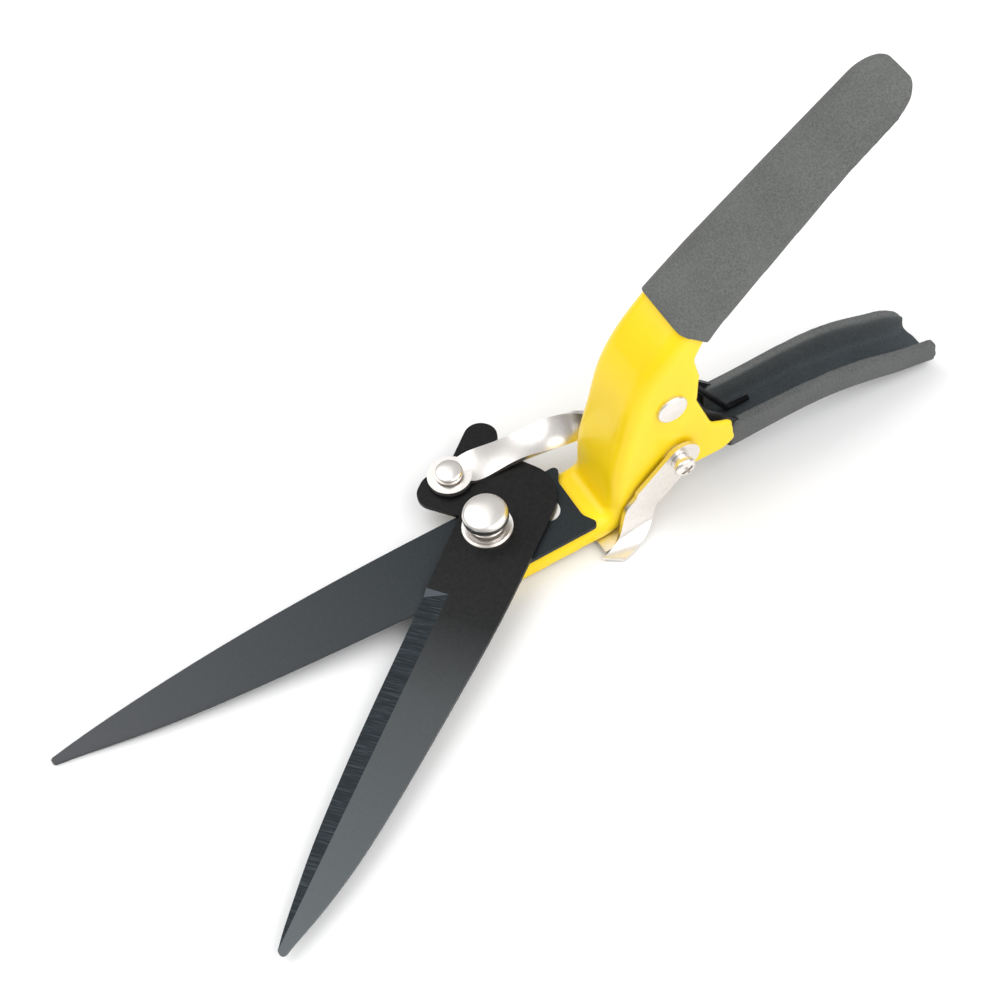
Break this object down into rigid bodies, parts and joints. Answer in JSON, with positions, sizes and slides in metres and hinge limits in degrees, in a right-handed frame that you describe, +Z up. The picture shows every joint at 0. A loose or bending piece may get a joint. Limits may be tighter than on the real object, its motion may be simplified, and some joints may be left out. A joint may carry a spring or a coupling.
{
  "type": "grass shears",
  "caption": "One-hand grass shears: squeezing the lower handle turns a blade across a fixed blade through a twisted link; a swinging latch locks them shut.",
  "frame": {"origin": "centre of the bounding box at floor level, the tool lying open on a floor", "axes": "+X towards the blade tips along the fixed blade, +Y towards the side the moving blade opens to, +Z up"},
  "size_m": [0.32, 0.1354, 0.1436],
  "materials": {
    "yellow_paint": "gloss powder coat",
    "upper_vinyl": "matte dipped vinyl, fine grain",
    "lower_vinyl": "matte dipped vinyl",
    "blade_black": "satin low-friction coating",
    "dark_steel": "satin black",
    "spring_black": "oiled black",
    "bush_steel": "turned",
    "zinc_steel": "zinc plated",
    "nickel": "polished nickel plate"
  },
  "bodies": {
    "stock": {"body_shell": "yellow_paint", "upper_grip": "upper_vinyl", "fixed_blade": "blade_black", "fixed_blade_rivet": "nickel", "pivot_bolt": "nickel", "pivot_washer_lower": "nickel", "pivot_washer_upper": "nickel", "pivot_spring_washer": "nickel", "tongue_washer": "zinc_steel", "pivot_nut": "zinc_steel", "handle_rivet": "nickel", "latch_screw": "nickel", "latch_washer": "nickel", "latch_nut": "zinc_steel"},
    "squeeze_handle": {"lower_handle": "dark_steel", "lower_grip": "lower_vinyl", "pivot_bush": "bush_steel", "link_rivet_rear": "nickel", "torsion_spring": "spring_black"},
    "swing_blade": {"moving_blade": "blade_black", "link_rivet_front": "nickel", "link_spacer": "nickel"},
    "push_link": {"link": "nickel"},
    "lock_latch": {"latch": "nickel"}
  },
  "joints": [
    {"name": "handle_squeeze", "type": "hinge", "parent": "stock", "child": "squeeze_handle", "pos_m": [-0.05499, -0.02507, 0.05215], "axis": [0, 1, 0], "range_deg": [0, 28], "stiffness_Nm_per_rad": 2.6, "springref_deg": -17.19, "deforming": ["torsion_spring"]},
    {"name": "blade_turn", "type": "hinge", "parent": "stock", "child": "swing_blade", "pos_m": [0.00424, -0.02867, 0.00993], "axis": [0.0534, 0, 0.9986], "range_deg": [-38.3, 0]},
    {"name": "link_turn", "type": "hinge", "parent": "swing_blade", "child": "push_link", "pos_m": [0.00549, -0.05197, 0.01386], "axis": [0.0534, 0, 0.9986], "range_deg": [0, 42.8]},
    {"name": "latch_turn", "type": "hinge", "parent": "stock", "child": "lock_latch", "pos_m": [-0.05685, -0.01167, 0.02681], "axis": [0, 1, 0], "range_deg": [0, 75]}
  ],
  "couplings": [
    {"joint": "blade_turn", "follows": "handle_squeeze", "ratio": -1.3643},
    {"joint": "link_turn", "follows": "handle_squeeze", "ratio": 1.5214}
  ]
}
